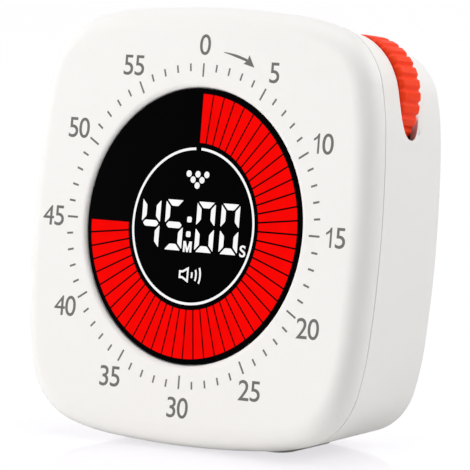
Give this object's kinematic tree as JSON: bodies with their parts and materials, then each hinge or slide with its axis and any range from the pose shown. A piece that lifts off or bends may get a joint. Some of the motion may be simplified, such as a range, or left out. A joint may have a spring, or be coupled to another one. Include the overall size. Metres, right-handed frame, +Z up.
{
  "type": "countdown timer",
  "caption": "Visual countdown timer: soft square white case leaning back on its underside, round black display with a shrinking red ring, ridged thumbwheel at the upper right corner.",
  "frame": {"origin": "on the surface it stands on, under the middle of its bounding box", "axes": "+X to the right seen from the front, +Y into the object, +Z up; the display faces -Y and leans back"},
  "size_m": [0.09, 0.043, 0.0892],
  "materials": {
    "case_white": "fine satin texture",
    "control_white": "satin",
    "lens_black": "polished",
    "lit_red": "lit from behind",
    "lit_white": "lit from behind",
    "dial_ink": "printed",
    "wheel_orange": "satin",
    "foot_rubber": "matte",
    "film_black": "matte",
    "diffuser_milk": "matte",
    "reflector_white": "matte",
    "board_green": "solder mask",
    "led_white": "clear",
    "screw_steel": "zinc plated",
    "shaft_steel": "ground",
    "black_plastic": "moulded",
    "connector_cream": "moulded",
    "socket_steel": "stamped",
    "battery_foil": "foil",
    "foam_grey": "foam",
    "speaker_black": "satin",
    "mesh_black": "woven",
    "magnet_nickel": "nickel plated",
    "wire_red": "insulation",
    "ribbon_white": "film"
  },
  "bodies": {
    "case": {"front_shell": "case_white", "rear_housing": "case_white", "display_lens": "lens_black", "mask_film": "film_black", "light_diffuser": "diffuser_milk", "light_box": "reflector_white", "led_board": "board_green", "ring_leds": "led_white", "digit_leds": "led_white", "led_board_screws": "screw_steel", "case_screws": "screw_steel", "wheel_bracket": "black_plastic", "bracket_screws": "screw_steel", "encoder": "black_plastic", "main_board": "board_green", "controller_chip": "black_plastic", "main_board_screws": "screw_steel", "usb_socket": "socket_steel", "power_switch": "socket_steel", "button_switches": "black_plastic", "battery": "battery_foil", "battery_pad": "foam_grey", "speaker": "speaker_black", "speaker_mesh": "mesh_black", "back_magnets": "magnet_nickel", "foot_pads": "foot_rubber", "ribbon_connectors": "connector_cream", "board_ribbon": "ribbon_white", "encoder_ribbon": "ribbon_white", "encoder_connector": "connector_cream", "lead_plugs": "connector_cream", "battery_leads": "wire_red", "speaker_leads": "wire_red"},
    "wheel": {"thumbwheel": "wheel_orange", "wheel_shaft": "shaft_steel"},
    "volume_key": {"volume_button": "control_white", "volume_stem": "black_plastic"},
    "brightness_key": {"brightness_button": "control_white", "brightness_stem": "black_plastic"},
    "switch_knob": {"power_slider": "control_white"}
  },
  "joints": [
    {"name": "wheel_turn", "type": "hinge", "parent": "case", "child": "wheel", "pos_m": [0.0298, 0.00159, 0.07199], "axis": [0, -0.9869, 0.1616], "continuous": true},
    {"name": "volume_press", "type": "slide", "parent": "case", "child": "volume_key", "axis": [0, -0.9869, 0.1616], "range_m": [0, 0.0004], "stiffness_N_per_m": 3750},
    {"name": "brightness_press", "type": "slide", "parent": "case", "child": "brightness_key", "axis": [0, -0.9869, 0.1616], "range_m": [0, 0.0004], "stiffness_N_per_m": 3750},
    {"name": "power_slide", "type": "slide", "parent": "case", "child": "switch_knob", "axis": [1, 0, 0], "range_m": [-0.0015, 0.0015]}
  ]
}
